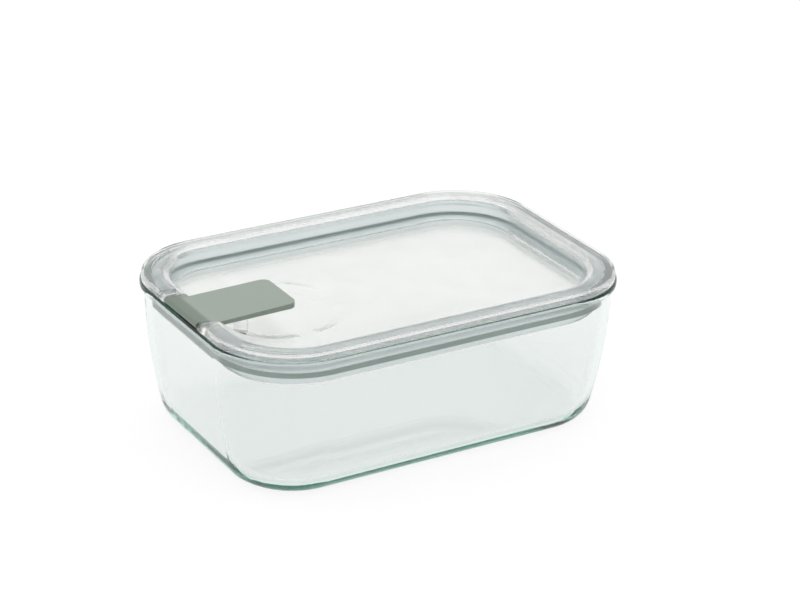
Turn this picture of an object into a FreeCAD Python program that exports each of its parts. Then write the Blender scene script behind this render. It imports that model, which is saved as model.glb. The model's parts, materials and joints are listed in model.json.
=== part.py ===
import FreeCAD, Part
import math
import os

from FreeCAD import Vector

# Glass storage container with a clear plug lid, a silicone seal and one hinged clip.
# Millimetres. +X is along the longer side and +Z is up. The clip is at the -X end.
# The origin is on the standing face, under the middle of the container.

# Outline of the glass rim, seen from above
length = 227.0
width = 158.0
rim_corner_radius = 43.0

# Glass container
glass_height = 77.7
rim_height = 4.2
rim_overhang = 1.4
rim_round = 1.6
wall = 4.0
body_corner_radius = 45.5
side_bow_radius = 267.0
heel_radius = 12.0
base_thickness = 5.0
floor_round = 10.0
lip_round = 0.9
foot_land = 6.0
foot_recess = 0.3
foot_step = 8.0
base_plate_margin = 5.0

# Lid
lid_rise = 4.0
lid_inset = 0.8
lid_wall = 2.0
lid_edge_round = 2.4
lid_gap = 0.3
crown_flat_end = 6.5
crown_edge_inset = 14.2
crown_edge_drop = 2.6
plug_wall = 3.0
recess_depth = 11.2
recess_draft = 10.0
recess_round = 2.5
panel_thickness = 2.2
panel_margin = 6.0
plug_foot = 6.6

# Finger dish in the lid's panel
dish_length = 64.0
dish_width = 66.0
dish_corner_radius = 28.0
dish_depth = 2.0
dish_slope = 7.0
dish_centre_from_end = 55.5

# Silicone seal
seal_gap = 0.3
seal_seat_gap = 0.1
seal_fit = 0.05
seal_web = 1.9
seal_lip = 2.8
seal_lip_rise = 1.2
seal_lip_drop = 9.7
seal_height = 16.2

# Clip
clip_length = 56.9
clip_tip_width = 33.4
clip_root_width = 35.2
clip_thickness = 2.9
clip_tip_drop = 1.5
clip_valley_drop = 2.7
clip_crest_drop = 0.6
clip_crest_from_axis = 5.5
clip_valley_from_axis = 10.1
clip_valley_thickness = 2.1
clip_valley_blend = 4.0
clip_corner_radius = 4.5
clip_side_gap = 0.4
clip_under_gap = 0.3

# Hinge of the clip, on stubs moulded on the lid
barrel_radius = 1.6
stub_radius = 0.8
stub_length = 3.0
stub_root = 4.0
hinge_running_gap = 0.05
hinge_end_gap = 0.4
hinge_from_end = 2.1
lobe_length = 9.0
lobe_depth = 10.9
lobe_round = 1.0

# Gap in the lid's rim, and the posts that the closed clip rests on
notch_shelf = 2.0
notch_end_from_end = 15.6
post_radius = 3.5
post_from_end = 27.5
post_from_middle = 13.0
post_gap = 0.3

# Snap dimples that hold the closed clip
snap_bump_radius = 0.9
snap_bump = 0.25
snap_dimple_radius = 1.15
snap_dimple_depth = 0.6
snap_from_axis = 5.4
snap_below_axis = 0.2

# Worked out from the values above
lid_top = glass_height + lid_rise
neck_height = glass_height - rim_height
inner_inset = rim_overhang + wall
panel_top = lid_top - recess_depth
panel_bottom = panel_top - panel_thickness
plug_outer_inset = crown_edge_inset - plug_wall
end_x = -length / 2
hinge_x = end_x + hinge_from_end
hinge_z = glass_height + lid_gap + barrel_radius
clip_tip_x = hinge_x + clip_length - barrel_radius
shelf_top = lid_top - clip_valley_drop - clip_valley_thickness - clip_under_gap

VERTICAL = Vector(0, 0, 1)
ORIGIN = Vector(0, 0, 0)


def arc(start, middle, end):
    return Part.Arc(start, middle, end).toShape()


def circle_point(centre, radius, degrees):
    """Point on a circle in the XZ plane, with the angle measured from +X towards +Z."""
    turn = math.radians(degrees)
    return centre + Vector(radius * math.cos(turn), 0, radius * math.sin(turn))


def round_between(centre, radius, start_degrees, end_degrees):
    middle_degrees = (start_degrees + end_degrees) / 2
    points = [circle_point(centre, radius, a) for a in (start_degrees, middle_degrees, end_degrees)]
    return arc(*points)


def closed_face(edges):
    """Face bounded by the edges in order, with straight lines where one doesn't meet the next."""
    loop = []
    for index, edge in enumerate(edges):
        loop.append(edge)
        end = edge.lastVertex(True).Point
        start = edges[(index + 1) % len(edges)].firstVertex(True).Point
        if end.distanceToPoint(start) > 1e-6:
            loop.append(Part.makeLine(end, start))
    return Part.Face(Part.Wire(loop))


def ring(face, corner_radius):
    """Sweep a section round the outline. The section's x is its distance from a corner's axis."""
    half_x = length / 2 - corner_radius
    half_y = width / 2 - corner_radius
    corners = [(half_x, half_y), (-half_x, half_y), (-half_x, -half_y), (half_x, -half_y)]
    pieces = []
    for index, (x, y) in enumerate(corners):
        section = face.copy()
        section.rotate(ORIGIN, VERTICAL, 90.0 * index)
        section.translate(Vector(x, y, 0))
        pieces.append(section.revolve(Vector(x, y, 0), VERTICAL, 90.0))
        before_x, before_y = corners[index - 1]
        pieces.append(section.extrude(Vector(before_x - x, before_y - y, 0)))
    return pieces[0].multiFuse(pieces[1:]).removeSplitter()


def rounded_plate(size_x, size_y, corner_radius, bottom, top):
    plate = Part.makeBox(size_x, size_y, top - bottom, Vector(-size_x / 2, -size_y / 2, bottom))
    return plate.makeFillet(corner_radius, [e for e in plate.Edges if is_upright(e)])


def is_upright(edge):
    start, end = edge.Vertexes[0].Point, edge.Vertexes[-1].Point
    return abs(start.x - end.x) + abs(start.y - end.y) < 1e-6


def box_between(low, high):
    size = high - low
    return Part.makeBox(size.x, size.y, size.z, low)


def bowed_side(inset, corner_round, floor):
    """Where a bowed side and the round under it meet each other and the floor.

    The side is an arc that is upright at the neck. Gives its centre and radius, and the
    centre of the round that is tangent to it and to a floor at the given height.
    """
    edge_x = body_corner_radius - inset
    radius = side_bow_radius - (inset - rim_overhang)
    centre = Vector(edge_x - radius, 0, neck_height)
    reach = radius - corner_round
    rise = neck_height - (floor + corner_round)
    round_centre = Vector(centre.x + math.sqrt(reach ** 2 - rise ** 2), 0, floor + corner_round)
    tangent = -math.degrees(math.asin(rise / reach))
    return centre, radius, round_centre, tangent


def glass_wall_section():
    """Wall, heel and edge of the base, drawn anticlockwise from the top of the outer side."""
    outer, outer_radius, heel, heel_tangent = bowed_side(rim_overhang, heel_radius, 0)
    inner, inner_radius, cove, cove_tangent = bowed_side(inner_inset, floor_round, base_thickness)
    outer_x = body_corner_radius - rim_overhang
    inner_x = body_corner_radius - inner_inset
    lip = Vector(inner_x + lip_round, 0, glass_height - lip_round)
    foot_x = heel.x - foot_land
    plate_x = foot_x - foot_step - base_plate_margin
    return closed_face([
        Part.makeLine(Vector(inner_x, 0, neck_height), Vector(inner_x, 0, lip.z)),
        round_between(lip, lip_round, 180, 90),
        Part.makeLine(Vector(outer_x, 0, glass_height), Vector(outer_x, 0, neck_height)),
        round_between(outer, outer_radius, 0, heel_tangent),
        round_between(heel, heel_radius, heel_tangent, -90),
        Part.makeLine(Vector(heel.x, 0, 0), Vector(foot_x, 0, 0)),
        Part.makeLine(Vector(foot_x, 0, 0), Vector(foot_x - foot_step, 0, foot_recess)),
        Part.makeLine(Vector(plate_x, 0, foot_recess), Vector(plate_x, 0, base_thickness)),
        round_between(cove, floor_round, -90, cove_tangent),
        round_between(inner, inner_radius, cove_tangent, 0),
    ]), plate_x


def rim_bead_section():
    outer_x = rim_corner_radius
    inner_x = rim_corner_radius - rim_overhang - wall / 2
    upper = Vector(outer_x - rim_round, 0, glass_height - rim_round)
    lower = Vector(outer_x - rim_round, 0, neck_height + rim_round)
    return closed_face([
        round_between(upper, rim_round, 90, 0),
        round_between(lower, rim_round, 0, -90),
        Part.makeLine(Vector(inner_x, 0, neck_height), Vector(inner_x, 0, glass_height)),
    ])


def make_glass_container():
    wall_face, plate_x = glass_wall_section()
    plate_inset = body_corner_radius - plate_x
    plate = rounded_plate(length - 2 * plate_inset, width - 2 * plate_inset, plate_x,
                          foot_recess, base_thickness)
    walls = ring(wall_face, body_corner_radius)
    bead = ring(rim_bead_section(), rim_corner_radius)
    return walls.multiFuse([bead, plate]).removeSplitter()


def lid_edge_section():
    """Outer edge of the lid: the skirt that stands over the glass rim, and half of the crown."""
    outer_x = rim_corner_radius - lid_inset
    inner_x = rim_corner_radius - crown_flat_end
    corner = Vector(outer_x - lid_edge_round, 0, lid_top - lid_edge_round)
    skirt_x = outer_x - lid_wall
    return closed_face([
        round_between(corner, lid_edge_round, 90, 0),
        Part.makeLine(Vector(outer_x, 0, glass_height + lid_gap), Vector(skirt_x, 0, glass_height + lid_gap)),
        Part.makeLine(Vector(skirt_x, 0, lid_top - lid_wall), Vector(inner_x, 0, lid_top - lid_wall)),
        Part.makeLine(Vector(inner_x, 0, lid_top - lid_wall), Vector(inner_x, 0, lid_top)),
    ])


def crown_arc():
    """Arc by which the crown falls from its flat top to the sharp edge of the recess."""
    flat_x = body_corner_radius - crown_flat_end
    reach = crown_edge_inset - crown_flat_end
    radius = (reach ** 2 + crown_edge_drop ** 2) / (2 * crown_edge_drop)
    turn = math.degrees(math.asin(reach / radius))
    return round_between(Vector(flat_x, 0, lid_top - radius), radius, 90, 90 + turn)


def lid_plug_section():
    """Inner part of the crown, the wall of the recess, the edge of the panel and the plug."""
    edge_x = body_corner_radius - inner_inset - seal_gap
    plug_x = body_corner_radius - plug_outer_inset
    slope = math.radians(recess_draft)
    crown_edge = Vector(body_corner_radius - crown_edge_inset, 0, lid_top - crown_edge_drop)
    cove_z = panel_top + recess_round
    cove_start_z = cove_z - recess_round * math.sin(slope)
    cove_start_x = crown_edge.x - (crown_edge.z - cove_start_z) * math.tan(slope)
    cove = Vector(cove_start_x - recess_round * math.cos(slope), 0, cove_z)
    plate_x = cove.x - panel_margin
    foot_z = panel_bottom - plug_foot
    return closed_face([
        Part.makeLine(Vector(edge_x, 0, lid_top - lid_wall), Vector(edge_x, 0, lid_top)),
        crown_arc(),
        round_between(cove, recess_round, -recess_draft, -90),
        Part.makeLine(Vector(plate_x, 0, panel_top), Vector(plate_x, 0, panel_bottom)),
        Part.makeLine(Vector(plug_x - lid_wall, 0, panel_bottom), Vector(plug_x - lid_wall, 0, foot_z)),
        Part.makeLine(Vector(plug_x, 0, foot_z), Vector(plug_x, 0, lid_top - lid_wall)),
    ]), plate_x


def rounded_outline(size_x, size_y, corner_radius, height):
    """Outline of a rounded rectangle at a height, as a wire."""
    plate = rounded_plate(size_x, size_y, corner_radius, height, height + 1)
    return next(face.OuterWire for face in plate.Faces if abs(face.CenterOfMass.z - height) < 1e-6)


def dish_bowl(height):
    """Flat bowl with sloping sides, with its brim at a height."""
    shrink = 2 * dish_slope
    brim = rounded_outline(dish_length, dish_width, dish_corner_radius, height)
    bottom = rounded_outline(dish_length - shrink, dish_width - shrink, dish_corner_radius - dish_slope,
                             height - dish_depth)
    bowl = Part.makeLoft([bottom, brim], True, True)
    bowl.translate(Vector(end_x + dish_centre_from_end, 0, 0))
    return bowl


def add_finger_dish(lid):
    """Press a shallow dish into the panel, as thick as the panel round it."""
    return lid.fuse(dish_bowl(panel_bottom)).cut(dish_bowl(panel_top))


def add_clip_gap(lid):
    """Open the rim for the clip, close the gap below it with a shelf, and fill the two lobes."""
    half_gap = clip_root_width / 2 + clip_side_gap
    half_lobes = half_gap + lobe_length
    lobes = box_between(Vector(end_x + lid_inset + lid_wall / 2, -half_lobes, glass_height + lid_gap),
                        Vector(end_x + lid_inset + lobe_depth, half_lobes, lid_top - lid_wall / 2))
    gap = box_between(Vector(end_x - 1, -half_gap, shelf_top),
                      Vector(end_x + notch_end_from_end, half_gap, lid_top + 1))
    shelf = box_between(Vector(end_x + inner_inset + seal_gap, -half_gap, shelf_top - notch_shelf),
                        Vector(end_x + plug_outer_inset + lid_wall / 2, half_gap, shelf_top))
    lid = lid.fuse(lobes).cut(gap).removeSplitter()
    return lid.makeFillet(lobe_round, [e for e in lid.Edges if on_lobe_skyline(e, half_gap)]).fuse(shelf)


def on_lobe_skyline(edge, half_gap):
    """Whether an edge of the clip's gap is on the crown, down the recess or on the outside of the skirt."""
    if any(abs(abs(v.Y) - half_gap) > 1e-6 for v in edge.Vertexes):
        return False
    on_crown = abs(max(v.Z for v in edge.Vertexes) - lid_top) < 1e-6
    outermost = all(abs(v.X - end_x - lid_inset) < 1e-6 for v in edge.Vertexes)
    wall_edge = all(v.X > end_x + crown_edge_inset - 1e-6 for v in edge.Vertexes) and not is_level(edge)
    return on_crown or outermost or wall_edge


def is_level(edge):
    return abs(edge.Vertexes[0].Z - edge.Vertexes[-1].Z) < 1e-6


def add_hinge_stubs(lid):
    """Two stubs on the lobes, one at each end of the clip's barrel."""
    stub_span = stub_length + clip_side_gap + stub_root
    for side in (-1, 1):
        root = Vector(hinge_x, side * (clip_root_width / 2 + clip_side_gap + stub_root), hinge_z)
        stub = Part.makeCylinder(stub_radius, stub_span, root, Vector(0, -side, 0))
        lid = lid.fuse(stub)
    return lid


def snap_ball(side, radius, outermost_y):
    """Ball at the snap, on one side, that reaches out to the given distance from the middle."""
    centre = Vector(hinge_x + snap_from_axis, side * (outermost_y - radius), hinge_z - snap_below_axis)
    return Part.makeSphere(radius, centre)


def add_posts(lid):
    """Two posts on the panel, which the closed clip rests on."""
    for side in (-1, 1):
        foot = Vector(end_x + post_from_end, side * post_from_middle, panel_top - dish_depth)
        top = clip_bottom_at(foot.x) - post_gap
        lid = lid.fuse(Part.makeCylinder(post_radius, top - foot.z, foot))
    return lid


def make_lid():
    plug_face, plate_x = lid_plug_section()
    plate_inset = body_corner_radius - plate_x
    panel = rounded_plate(length - 2 * plate_inset, width - 2 * plate_inset, plate_x, panel_bottom, panel_top)
    lid = ring(lid_edge_section(), rim_corner_radius)
    lid = lid.multiFuse([ring(plug_face, body_corner_radius), panel]).removeSplitter()
    lid = add_finger_dish(lid)
    lid = add_clip_gap(lid)
    for side in (-1, 1):
        deepest = clip_root_width / 2 + clip_side_gap + snap_dimple_depth
        lid = lid.cut(snap_ball(side, snap_dimple_radius, deepest))
    lid = add_hinge_stubs(lid)
    return add_posts(lid)


def seal_section():
    """Flange under the crown, web against the plug, and a broad lip that reaches towards the glass."""
    web_x = body_corner_radius - plug_outer_inset + seal_fit
    lip_root_x = web_x + seal_web
    reach_x = body_corner_radius - inner_inset - seal_gap
    flange_top = lid_top - lid_wall - seal_fit
    flange_bottom = glass_height + seal_seat_gap
    bottom = flange_top - seal_height
    loop = [Vector(web_x, 0, flange_top), Vector(reach_x, 0, flange_top), Vector(reach_x, 0, flange_bottom)]
    loop.append(Vector(lip_root_x, 0, flange_bottom))
    root_z = flange_bottom - seal_lip_drop
    tip_z = root_z + seal_lip_rise
    tip_x = reach_x - side_bow(neck_height - root_z)
    loop.append(Vector(lip_root_x, 0, root_z + seal_lip / 2))
    loop.append(Vector(tip_x, 0, tip_z + seal_lip / 2))
    loop.append(Vector(tip_x, 0, tip_z - seal_lip / 2))
    loop.append(Vector(lip_root_x, 0, root_z - seal_lip / 2))
    loop.append(Vector(lip_root_x, 0, bottom))
    loop.append(Vector(web_x, 0, bottom))
    return Part.Face(Part.makePolygon(loop + loop[:1]))


def side_bow(depth):
    """How far the glass side has come inwards at a depth below the neck."""
    if depth <= 0:
        return 0.0
    return side_bow_radius - math.sqrt(side_bow_radius ** 2 - depth ** 2)


def seat_section():
    """Thin flange of the seal, between the lid and the flat top of the glass rim."""
    outer_x = rim_corner_radius - lid_inset - lid_wall - seal_fit
    inner_x = rim_corner_radius - inner_inset - 2 * seal_gap
    return closed_face([
        Part.makeLine(Vector(inner_x, 0, lid_top - lid_wall - seal_fit),
                      Vector(outer_x, 0, lid_top - lid_wall - seal_fit)),
        Part.makeLine(Vector(outer_x, 0, glass_height + seal_seat_gap),
                      Vector(inner_x, 0, glass_height + seal_seat_gap)),
    ])


def make_seal_ring():
    seal = ring(seal_section(), body_corner_radius).fuse(ring(seat_section(), rim_corner_radius))
    half_gap = clip_root_width / 2 + clip_side_gap + lobe_length + seal_fit
    gap = box_between(Vector(end_x - 1, -half_gap, shelf_top - notch_shelf - seal_fit),
                      Vector(end_x + plug_outer_inset + 1, half_gap, lid_top))
    return seal.cut(gap).removeSplitter()


def clip_bottom_at(x):
    """Height of the clip's flat underside, which climbs evenly from the valley to the tip."""
    valley_x = hinge_x + clip_valley_from_axis
    valley_z = lid_top - clip_valley_drop - clip_valley_thickness
    tip_z = lid_top - clip_tip_drop - clip_thickness
    return valley_z + (tip_z - valley_z) * (x - valley_x) / (clip_tip_x - valley_x)


def clip_top_at(x):
    """Height of the clip's flat top, between the valley and the tip."""
    valley_x = hinge_x + clip_valley_from_axis
    slope = (clip_valley_drop - clip_tip_drop) / (clip_tip_x - valley_x)
    return lid_top - clip_valley_drop + slope * (x - valley_x)


def clip_side_section():
    """Side view of the clip: barrel, crest, valley and the tab that runs on to the tip."""
    axis = Vector(hinge_x, 0, hinge_z)
    crest_x = hinge_x + clip_crest_from_axis
    valley_x = hinge_x + clip_valley_from_axis
    tab_x = valley_x + clip_valley_blend
    barrel_top = hinge_z + barrel_radius
    tab_end = Vector(tab_x, 0, clip_top_at(tab_x))
    tip_foot = Vector(clip_tip_x, 0, clip_bottom_at(clip_tip_x))
    barrel_foot = Vector(hinge_x, 0, hinge_z - barrel_radius)
    crest = Part.BSplineCurve()
    crest.buildFromPoles([
        tab_end,
        Vector(valley_x, 0, clip_top_at(valley_x)),
        Vector(crest_x, 0, lid_top - clip_crest_drop),
        Vector(hinge_x + barrel_radius, 0, barrel_top),
        Vector(hinge_x, 0, barrel_top),
    ])
    return closed_face([
        Part.makeLine(Vector(clip_tip_x, 0, clip_top_at(clip_tip_x)), tab_end),
        crest.toShape(),
        round_between(axis, barrel_radius, 90, 270),
        Part.makeLine(barrel_foot, Vector(crest_x, 0, barrel_foot.z)),
        Part.makeLine(Vector(valley_x, 0, clip_bottom_at(valley_x)), tip_foot),
    ])


def clip_plan():
    """Plan of the clip, wider at the hinge, with rounded corners at the tip."""
    root_x = hinge_x - barrel_radius - 1
    half_root = clip_root_width / 2
    half_tip = clip_tip_width / 2
    loop = [Vector(root_x, -half_root, 0), Vector(clip_tip_x, -half_tip, 0)]
    loop += [Vector(clip_tip_x, half_tip, 0), Vector(root_x, half_root, 0)]
    prism = Part.Face(Part.makePolygon(loop + loop[:1])).extrude(Vector(0, 0, 2 * lid_top))
    tip_edges = [e for e in prism.Edges if is_upright(e) and abs(e.Vertexes[0].X - clip_tip_x) < 1e-6]
    return prism.makeFillet(clip_corner_radius, tip_edges)


def make_clip():
    side = clip_side_section()
    side.translate(Vector(0, -clip_root_width, 0))
    clip = side.extrude(Vector(0, 2 * clip_root_width, 0)).common(clip_plan())
    for side in (-1, 1):
        mouth = Vector(hinge_x, side * clip_root_width / 2, hinge_z)
        depth = stub_length + hinge_end_gap
        socket = Part.makeCylinder(stub_radius + hinge_running_gap, depth + clip_root_width,
                                   mouth + Vector(0, side * clip_root_width, 0), Vector(0, -side, 0))
        bump = snap_ball(side, snap_bump_radius, clip_root_width / 2 + snap_bump)
        clip = clip.cut(socket).fuse(bump)
    return clip


NODES = {
    "glass_container": make_glass_container,
    "lid": make_lid,
    "seal_ring": make_seal_ring,
    "clip": make_clip,
}
os.makedirs("parts", exist_ok=True)
for name, make in NODES.items():
    make().exportStep("parts/%s.step" % name)
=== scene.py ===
"""Looks for the glass storage container: glass box, clear plug lid, silicone seal and sage clip."""

import json
import logging
import math
from dataclasses import dataclass

import bpy
from mathutils import Matrix, Vector

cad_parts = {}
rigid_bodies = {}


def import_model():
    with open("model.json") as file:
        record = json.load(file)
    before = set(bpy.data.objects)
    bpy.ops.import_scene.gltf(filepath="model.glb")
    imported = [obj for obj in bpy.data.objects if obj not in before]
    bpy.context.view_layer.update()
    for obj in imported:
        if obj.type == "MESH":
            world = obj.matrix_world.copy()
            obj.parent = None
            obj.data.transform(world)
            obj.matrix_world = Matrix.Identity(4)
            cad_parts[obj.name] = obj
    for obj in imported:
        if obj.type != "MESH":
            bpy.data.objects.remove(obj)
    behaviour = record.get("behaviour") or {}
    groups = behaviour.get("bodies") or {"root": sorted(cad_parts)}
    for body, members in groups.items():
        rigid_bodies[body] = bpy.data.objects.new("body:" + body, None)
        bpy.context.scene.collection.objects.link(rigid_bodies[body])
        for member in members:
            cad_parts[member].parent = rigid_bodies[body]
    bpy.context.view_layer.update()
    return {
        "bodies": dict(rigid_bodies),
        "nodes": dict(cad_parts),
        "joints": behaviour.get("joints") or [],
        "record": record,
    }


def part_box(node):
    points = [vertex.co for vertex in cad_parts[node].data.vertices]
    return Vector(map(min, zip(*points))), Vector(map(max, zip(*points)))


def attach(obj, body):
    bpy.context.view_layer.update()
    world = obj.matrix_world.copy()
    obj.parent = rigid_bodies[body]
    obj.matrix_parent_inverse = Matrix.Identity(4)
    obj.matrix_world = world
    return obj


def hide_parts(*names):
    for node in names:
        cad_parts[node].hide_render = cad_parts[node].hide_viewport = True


LOG = logging.getLogger("glass_storage_container")
NOISE_MIDDLE = 0.5
LID_CREASE = math.radians(18.0)
Colour = tuple[float, float, float, float]


class Socket:
    """An output socket that takes part in Python arithmetic by adding Math nodes."""

    def __init__(self, tree: bpy.types.NodeTree, output: bpy.types.NodeSocket) -> None:
        """Wrap one output.

        Args:
            tree: the node tree that the output belongs to.
            output: the output socket.
        """
        self.tree = tree
        self.output = output

    def _math(self, operation: str, first: object, second: object) -> "Socket":
        """Add one Math node.

        Args:
            operation: the node's operation.
            first: left value, a Socket or a number.
            second: right value, a Socket or a number.

        Returns:
            The node's result.
        """
        node = self.tree.nodes.new("ShaderNodeMath")
        node.operation = operation
        for slot, value in zip(node.inputs, (first, second)):
            if isinstance(value, Socket):
                self.tree.links.new(value.output, slot)
            else:
                slot.default_value = value
        return Socket(self.tree, node.outputs[0])

    def __add__(self, other: object) -> "Socket":
        """Sum of this and another value."""
        return self._math("ADD", self, other)

    def __radd__(self, other: object) -> "Socket":
        """Sum with the other value first."""
        return self._math("ADD", other, self)

    def __sub__(self, other: object) -> "Socket":
        """Difference of this and another value."""
        return self._math("SUBTRACT", self, other)

    def __rsub__(self, other: object) -> "Socket":
        """Difference with the other value first."""
        return self._math("SUBTRACT", other, self)

    def __mul__(self, other: object) -> "Socket":
        """Product of this and another value."""
        return self._math("MULTIPLY", self, other)

    def __rmul__(self, other: object) -> "Socket":
        """Product with the other value first."""
        return self._math("MULTIPLY", other, self)


class NodeBoard:
    """A material's or a world's node tree, cleared and ready to be wired."""

    def __init__(self, tree: bpy.types.NodeTree) -> None:
        """Clear the tree.

        Args:
            tree: the node tree.
        """
        self.tree = tree
        tree.nodes.clear()

    def node(self, kind: str, settings: dict[str, object] | None = None,
             values: dict[object, object] | None = None) -> bpy.types.Node:
        """Add a node.

        Args:
            kind: the node's type.
            settings: attributes of the node, set before its sockets.
            values: what each input takes, by name or index: a Socket, an output or a plain value.

        Returns:
            The node.
        """
        made = self.tree.nodes.new(kind)
        for name, value in (settings or {}).items():
            if name == "stops":
                self._set_stops(made, value)
            else:
                setattr(made, name, value)
        for name, value in (values or {}).items():
            slot = made.inputs[name]
            if isinstance(value, Socket):
                self.tree.links.new(value.output, slot)
            elif isinstance(value, bpy.types.NodeSocket):
                self.tree.links.new(value, slot)
            else:
                slot.default_value = value
        return made

    def value(self, kind: str, settings: dict[str, object] | None = None,
              values: dict[object, object] | None = None, output: object = 0) -> Socket:
        """Add a node and give one of its outputs for arithmetic.

        Args:
            kind: the node's type.
            settings: attributes of the node.
            values: what each input takes.
            output: name or index of the output.

        Returns:
            The wrapped output.
        """
        return Socket(self.tree, self.node(kind, settings, values).outputs[output])

    @staticmethod
    def _set_stops(ramp: bpy.types.Node, stops: list[tuple[float, Colour]]) -> None:
        """Give a colour ramp its stops, from left to right."""
        elements = ramp.color_ramp.elements
        while len(elements) < len(stops):
            elements.new(1.0)
        for element, (place, colour) in zip(elements, stops):
            element.position = place
            element.color = colour


@dataclass(frozen=True)
class ClearFinish:
    """A clear solid: glass or clear plastic, greyed at its skin and tinted by its thickness."""

    name: str
    skin: Colour
    tint: Colour
    tint_density: float
    ior: float
    roughness: float
    ripple_size: float
    ripple_height: float
    haze_scale: float = 60.0
    least_haze: float = 0.6
    haze_span: float = 0.8

    def make(self) -> bpy.types.Material:
        """Build the material.

        Returns:
            The material.
        """
        material = bpy.data.materials.new(self.name)
        material.use_nodes = True
        board = NodeBoard(material.node_tree)
        place = board.node("ShaderNodeTexCoord").outputs["Object"]
        ripple = board.value("ShaderNodeTexNoise", {"noise_dimensions": "3D"},
                             {"Vector": place, "Scale": 1 / self.ripple_size, "Detail": 1.0})
        haze = board.value("ShaderNodeTexNoise", {},
                           {"Vector": place, "Scale": self.haze_scale, "Detail": 3.0})
        bump = board.node("ShaderNodeBump", {},
                          {"Strength": 1.0, "Distance": self.ripple_height, "Height": ripple})
        shader = board.node("ShaderNodeBsdfPrincipled", {}, {
            "Base Color": self.skin,
            "Roughness": self.roughness * (self.least_haze + self.haze_span * haze),
            "IOR": self.ior,
            "Transmission Weight": 1.0,
            "Normal": bump.outputs["Normal"],
        })
        inside = board.node("ShaderNodeVolumeAbsorption", {}, {
            "Color": self.tint, "Density": self.tint_density})
        board.node("ShaderNodeOutputMaterial", {}, {
            "Surface": shader.outputs[0], "Volume": inside.outputs[0]})
        return material


@dataclass(frozen=True)
class SiliconeFinish:
    """Milky silicone that lets soft light through, with a dark band painted on the lip's face as shade
    under the glass rim.
    """

    name: str
    colour: Colour
    deep_colour: Colour
    rim_shade_colour: Colour
    roughness: float
    clearness: float
    lip_height: float
    corner_axis: tuple[float, float]
    lip_radius: float
    lip_half_width: float = 0.0016
    lip_full_share: float = 0.8
    lip_fade: float = 0.0004
    ior: float = 1.25
    cloud_scale: float = 35.0
    cloud_roughness: float = 0.1
    grain_scale: float = 900.0
    grain_height: float = 0.00003

    def rim_shade_band(self, board: NodeBoard, place: bpy.types.NodeSocket) -> Socket:
        """Mask of the lip's face, where a dark band is painted to stand for the shade under the glass
        rim.

        Args:
            board: the material's nodes.
            place: object coordinates.

        Returns:
            One on the lip's face and nought elsewhere.
        """
        split = board.node("ShaderNodeSeparateXYZ", {}, {"Vector": place}).outputs
        off_lip = board.value("ShaderNodeMath", {"operation": "ABSOLUTE"},
                              {0: Socket(board.tree, split["Z"]) - self.lip_height})
        squares = []
        for axis, half in zip("XY", self.corner_axis):
            side = board.value("ShaderNodeMath", {"operation": "ABSOLUTE"}, {0: split[axis]})
            reach = board.value("ShaderNodeMath", {"operation": "MAXIMUM"}, {0: side - half, 1: 0.0})
            squares.append(reach * reach)
        radius = board.value("ShaderNodeMath", {"operation": "SQRT"}, {0: squares[0] + squares[1]})
        level = board.value("ShaderNodeMapRange", {}, {
            "Value": off_lip, "From Min": self.lip_half_width,
            "From Max": self.lip_full_share * self.lip_half_width})
        outer = board.value("ShaderNodeMapRange", {}, {
            "Value": radius, "From Min": self.lip_radius - self.lip_fade, "From Max": self.lip_radius})
        return level * outer

    def make(self) -> bpy.types.Material:
        """Build the material.

        Returns:
            The material.
        """
        material = bpy.data.materials.new(self.name)
        material.use_nodes = True
        board = NodeBoard(material.node_tree)
        place = board.node("ShaderNodeTexCoord").outputs["Object"]
        cloud = board.value("ShaderNodeTexNoise", {},
                            {"Vector": place, "Scale": self.cloud_scale, "Detail": 2.0})
        colour = board.node("ShaderNodeMix", {"data_type": "RGBA"},
                            {"Factor": cloud, "A": self.colour, "B": self.deep_colour})
        grain = board.value("ShaderNodeTexNoise", {},
                            {"Vector": place, "Scale": self.grain_scale, "Detail": 2.0})
        bump = board.node("ShaderNodeBump", {},
                          {"Strength": 0.3, "Distance": self.grain_height, "Height": grain})
        # Painted shade: the lip's face is coloured dark to stand for the shade seen under the glass
        # rim.
        shade = board.node("ShaderNodeMix", {"data_type": "RGBA"}, {
            "Factor": self.rim_shade_band(board, place), "A": colour.outputs["Result"],
            "B": self.rim_shade_colour})
        shader = board.node("ShaderNodeBsdfPrincipled", {}, {
            "Base Color": shade.outputs["Result"],
            "Roughness": self.roughness + self.cloud_roughness * (cloud - NOISE_MIDDLE),
            "IOR": self.ior,
            "Transmission Weight": self.clearness,
            "Normal": bump.outputs["Normal"],
        })
        board.node("ShaderNodeOutputMaterial", {}, {"Surface": shader.outputs[0]})
        return material


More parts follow.
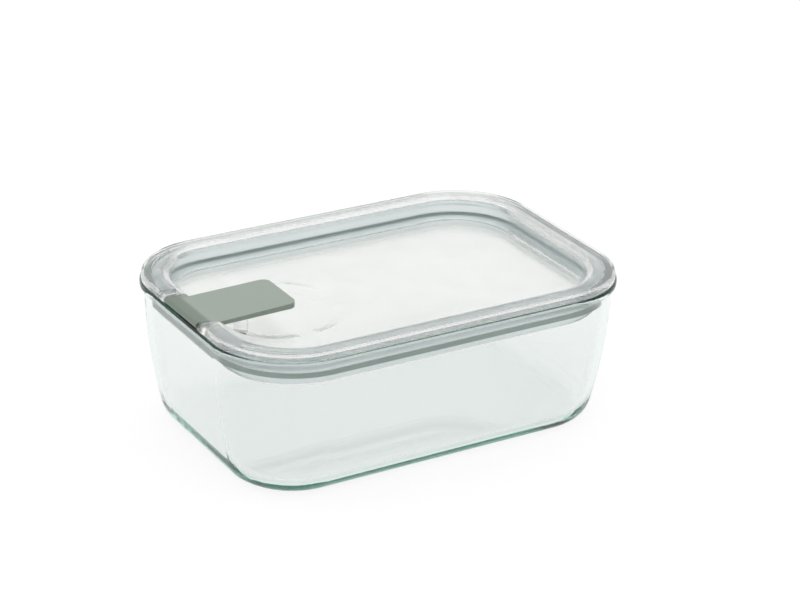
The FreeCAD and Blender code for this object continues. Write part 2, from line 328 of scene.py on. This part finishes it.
@dataclass(frozen=True)
class MouldedFinish:
    """Satin moulded plastic with a fine even grain, and a darker colour at the hinge end.

    The darker end is painted: it stands for shade that the soft studio light doesn't give.
    """

    name: str
    colour: Colour
    worn_colour: Colour
    hinge_shade_colour: Colour
    roughness: float
    hinge_shade_start: float
    hinge_shade_end: float
    ior: float = 1.49
    cloud_scale: float = 45.0
    cloud_roughness: float = 0.08
    grain_scale: float = 2600.0
    grain_roughness: float = 0.05
    grain_height: float = 0.00003

    def make(self) -> bpy.types.Material:
        """Build the material.

        Returns:
            The material.
        """
        material = bpy.data.materials.new(self.name)
        material.use_nodes = True
        board = NodeBoard(material.node_tree)
        place = board.node("ShaderNodeTexCoord").outputs["Object"]
        cloud = board.value("ShaderNodeTexNoise", {},
                            {"Vector": place, "Scale": self.cloud_scale, "Detail": 3.0})
        grain = board.value("ShaderNodeTexNoise", {},
                            {"Vector": place, "Scale": self.grain_scale, "Detail": 2.0})
        along = board.value("ShaderNodeSeparateXYZ", {}, {"Vector": place}, "X")
        # Painted shade: the hinge end is coloured darker to stand for shade, fading out along the clip.
        root = board.value("ShaderNodeMapRange", {"interpolation_type": "SMOOTHSTEP"}, {
            "Value": along, "From Min": self.hinge_shade_end, "From Max": self.hinge_shade_start})
        tab = board.node("ShaderNodeMix", {"data_type": "RGBA"},
                         {"Factor": cloud, "A": self.colour, "B": self.worn_colour})
        colour = board.node("ShaderNodeMix", {"data_type": "RGBA"},
                            {"Factor": root, "A": tab.outputs["Result"], "B": self.hinge_shade_colour})
        bump = board.node("ShaderNodeBump", {},
                          {"Strength": 0.25, "Distance": self.grain_height, "Height": grain})
        roughness = (self.roughness + self.cloud_roughness * (cloud - NOISE_MIDDLE)
                     + self.grain_roughness * (grain - NOISE_MIDDLE))
        shader = board.node("ShaderNodeBsdfPrincipled", {}, {
            "Base Color": colour.outputs["Result"],
            "Roughness": roughness,
            "IOR": self.ior,
            "Normal": bump.outputs["Normal"],
        })
        board.node("ShaderNodeOutputMaterial", {}, {"Surface": shader.outputs[0]})
        return material


@dataclass
class Studio:
    """Pale floor, soft light all round and the camera."""

    azimuth: float = math.radians(-30.84)
    elevation: float = math.radians(24.18)
    roll: float = math.radians(1.17)
    distance: float = 1.3098
    aim_height: float = 0.04
    aim_right: float = 0.0114
    aim_up: float = 0.0208
    lens: float = 113.9
    floor_size: float = 6.0
    floor_gap: float = 0.0003
    floor_colour: Colour = (0.22, 0.22, 0.22, 1.0)
    floor_glow: float = 0.82
    sky_strength: float = 1.05
    camera_side_rise: float = 0.15

    def place_camera(self) -> None:
        """Put the camera at its bearing and aim it at the container."""
        back = Vector((math.sin(self.azimuth) * math.cos(self.elevation),
                       -math.cos(self.azimuth) * math.cos(self.elevation),
                       math.sin(self.elevation)))
        level = Vector((math.cos(self.azimuth), math.sin(self.azimuth), 0.0))
        upright = back.cross(level)
        right = math.cos(self.roll) * level + math.sin(self.roll) * upright
        up = math.cos(self.roll) * upright - math.sin(self.roll) * level
        eye = (back * self.distance + right * self.aim_right + up * self.aim_up
               + Vector((0.0, 0.0, self.aim_height)))
        data = bpy.data.cameras.new("camera")
        data.lens = self.lens
        data.sensor_width = 36.0
        data.clip_start = 0.01
        camera = bpy.data.objects.new("camera", data)
        turn = Matrix((right, up, back)).transposed().to_4x4()
        camera.matrix_world = Matrix.Translation(eye) @ turn
        bpy.context.collection.objects.link(camera)
        bpy.context.scene.camera = camera

    def lay_floor(self) -> None:
        """Lay the pale floor on the standing face's level."""
        bpy.ops.object.select_all(action="DESELECT")
        bpy.ops.mesh.primitive_plane_add(size=self.floor_size, location=(0.0, 0.0, -self.floor_gap))
        floor = bpy.context.object
        floor.name = "studio_floor"
        material = bpy.data.materials.new("pale_floor")
        material.use_nodes = True
        board = NodeBoard(material.node_tree)
        shader = board.node("ShaderNodeBsdfPrincipled", {}, {
            "Base Color": self.floor_colour, "Roughness": 0.9, "Specular IOR Level": 0.0,
            "Emission Color": (1.0, 1.0, 1.0, 1.0), "Emission Strength": self.floor_glow})
        board.node("ShaderNodeOutputMaterial", {}, {"Surface": shader.outputs[0]})
        floor.data.materials.append(material)

    def light(self) -> None:
        """Light the scene from a soft dome, greyer at the horizon and darker on the camera's side."""
        world = bpy.data.worlds.new("studio")
        world.use_nodes = True
        bpy.context.scene.world = world
        board = NodeBoard(world.node_tree)
        direction = board.node("ShaderNodeTexCoord").outputs["Generated"]
        height = board.node("ShaderNodeSeparateXYZ", {}, {"Vector": direction}).outputs["Z"]
        dome = board.node("ShaderNodeValToRGB", {"stops": [
            (0.0, (0.80, 0.81, 0.81, 1.0)),
            (0.10, (0.88, 0.89, 0.89, 1.0)),
            (0.30, (1.0, 1.0, 1.0, 1.0)),
            (1.0, (1.0, 1.0, 1.0, 1.0)),
        ]}, {"Fac": height})
        bearing = (math.sin(self.azimuth), -math.cos(self.azimuth), self.camera_side_rise)
        toward = board.value("ShaderNodeVectorMath", {"operation": "DOT_PRODUCT"},
                             {0: direction, 1: bearing}, "Value")
        room = board.node("ShaderNodeValToRGB", {"stops": [
            (0.0, (1.0, 1.0, 1.0, 1.0)),
            (0.75, (1.0, 1.0, 1.0, 1.0)),
            (0.92, (0.84, 0.85, 0.85, 1.0)),
            (1.0, (0.80, 0.81, 0.81, 1.0)),
        ]}, {"Fac": toward})
        shade = board.node("ShaderNodeMix", {"data_type": "RGBA", "blend_type": "MULTIPLY"},
                           {"Factor": 1.0, "A": dome.outputs["Color"], "B": room.outputs["Color"]})
        sky = board.node("ShaderNodeBackground", {}, {
            "Color": shade.outputs["Result"], "Strength": self.sky_strength})
        board.node("ShaderNodeOutputWorld", {}, {"Surface": sky.outputs[0]})
        scene = bpy.context.scene
        scene.view_settings.view_transform = "Standard"
        scene.cycles.max_bounces = 64
        scene.cycles.transmission_bounces = 64
        scene.cycles.glossy_bounces = 32
        scene.cycles.diffuse_bounces = 4


@dataclass
class MouldedPiece:
    """A moulded piece of the container, with clean shading over its rounds and flats."""

    node: str
    body: str
    slot: str
    piece_name: str
    crease: float = math.radians(32.0)
    join_distance: float = 0.000005
    flat_weight: int = 80

    def start_shape(self, frame: dict[str, object]) -> bpy.types.Object:
        """Copy the piece's solid as one joined mesh.


        Returns:
            The new object, active and selected alone.
        """
        mesh = frame["nodes"][self.node].data.copy()
        mesh.name = self.piece_name
        piece = bpy.data.objects.new(self.piece_name, mesh)
        bpy.context.collection.objects.link(piece)
        bpy.ops.object.select_all(action="DESELECT")
        piece.select_set(True)
        bpy.context.view_layer.objects.active = piece
        if mesh.has_custom_normals:
            bpy.ops.mesh.customdata_custom_splitnormals_clear()
        bpy.ops.object.mode_set(mode="EDIT")
        bpy.ops.mesh.select_all(action="SELECT")
        bpy.ops.mesh.remove_doubles(threshold=self.join_distance)
        bpy.ops.mesh.dissolve_degenerate(threshold=self.join_distance)
        bpy.ops.object.mode_set(mode="OBJECT")
        return piece

    def shape(self, piece: bpy.types.Object) -> None:
        """Shape the joined mesh further. A plain moulding is left as it is."""

    def smooth(self, piece: bpy.types.Object) -> None:
        """Shade the rounds smoothly and keep the flats flat.

        Args:
            piece: the active object.
        """
        bpy.ops.object.shade_smooth_by_angle(angle=self.crease)
        weigh = piece.modifiers.new("even_shading", "WEIGHTED_NORMAL")
        weigh.mode = "FACE_AREA"
        weigh.weight = self.flat_weight
        weigh.keep_sharp = True
        bpy.ops.object.modifier_apply(modifier=weigh.name)

    def build(self, frame: dict[str, object], finish: bpy.types.Material) -> bpy.types.Object:
        """Build the piece, dress it and put it on its body.

        Args:
            finish: the piece's material.

        Returns:
            The finished object.
        """
        piece = self.start_shape(frame)
        self.shape(piece)
        self.smooth(piece)
        piece.data.materials.clear()
        piece.data.materials.append(finish)
        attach(piece, self.body)
        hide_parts(self.node)
        LOG.info("%s: %d faces on %s", piece.name, len(piece.data.polygons), self.body)
        return piece


@dataclass(frozen=True)
class SealPlace:
    """Where the seal's lip faces the glass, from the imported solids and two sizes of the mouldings."""

    glass_corner: float = 0.0455
    lip_inset: float = 0.0063
    lip_rise: float = 0.00585

    def lip_height(self) -> float:
        """Height of the middle of the lip's face."""
        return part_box("seal_ring")[0][2] + self.lip_rise

    def corner_axis(self) -> tuple[float, float]:
        """Half spans between the upright axes of the container's rounded corners."""
        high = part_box("glass_container")[1]
        return high[0] - self.glass_corner, high[1] - self.glass_corner

    def lip_radius(self) -> float:
        """Radius of the lip's face round a corner's axis."""
        return self.glass_corner - self.lip_inset


@dataclass
class Clip(MouldedPiece):
    """The clip, with the small rounds that its mould gives to every edge."""

    edge_round: float = 0.0004
    round_steps: int = 3
    sharp_from: float = math.radians(35.0)
    flat_within: float = math.radians(0.5)
    # Painted shade at the hinge end: full up to the first distance from the end, gone by the second.
    hinge_shade_full_until: float = 0.0065
    hinge_shade_gone_from: float = 0.0100

    def shape(self, piece: bpy.types.Object) -> None:
        """Round the clip's sharp edges.

        Args:
            piece: the active object.
        """
        bpy.ops.object.mode_set(mode="EDIT")
        bpy.ops.mesh.select_all(action="SELECT")
        bpy.ops.mesh.dissolve_limited(angle_limit=self.flat_within)
        bpy.ops.object.mode_set(mode="OBJECT")
        rounds = piece.modifiers.new("edge_rounds", "BEVEL")
        rounds.width = self.edge_round
        rounds.segments = self.round_steps
        rounds.limit_method = "ANGLE"
        rounds.angle_limit = self.sharp_from
        rounds.use_clamp_overlap = True
        bpy.ops.object.modifier_apply(modifier=rounds.name)


def main() -> None:
    """Build the studio and the container, piece by piece."""
    logging.basicConfig(level=logging.INFO, format="%(message)s")
    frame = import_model()
    studio = Studio()
    studio.place_camera()
    studio.lay_floor()
    studio.light()
    glass = ClearFinish(
        "clear_glass", skin=(0.965, 0.958, 0.955, 1.0), tint=(0.04, 0.54, 0.42, 1.0),
        tint_density=13.0, ior=1.47, roughness=0.004, ripple_size=0.05, ripple_height=0.00002)
    plastic = ClearFinish(
        "clear_plastic", skin=(0.955, 0.955, 0.945, 1.0), tint=(0.80, 0.82, 0.81, 1.0),
        tint_density=2.0, ior=1.25, roughness=0.18, ripple_size=0.03, ripple_height=0.00001)
    lip = SealPlace()
    silicone = SiliconeFinish(
        "silicone", colour=(0.93, 0.975, 0.985, 1.0), deep_colour=(0.88, 0.94, 0.955, 1.0),
        rim_shade_colour=(0.10, 0.14, 0.12, 1.0), roughness=0.3, clearness=0.95,
        lip_height=lip.lip_height(), corner_axis=lip.corner_axis(), lip_radius=lip.lip_radius())
    clip = Clip("clip", "clip", "sage_plastic", "end_clip")
    hinge_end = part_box(clip.node)[0][0]
    sage = MouldedFinish(
        "sage_plastic", colour=(0.290, 0.340, 0.287, 1.0), worn_colour=(0.315, 0.366, 0.310, 1.0),
        hinge_shade_colour=(0.170, 0.208, 0.168, 1.0), roughness=0.45,
        hinge_shade_start=hinge_end + clip.hinge_shade_full_until, hinge_shade_end=hinge_end + clip.hinge_shade_gone_from)
    MouldedPiece("glass_container", "container", "clear_glass", "glass_box").build(frame, glass.make())
    MouldedPiece("lid", "lid", "clear_plastic", "plug_lid",
                 crease=LID_CREASE).build(frame, plastic.make())
    MouldedPiece("seal_ring", "lid", "silicone", "lid_seal").build(frame, silicone.make())
    clip.build(frame, sage.make())


if __name__ == "__main__":
    main()
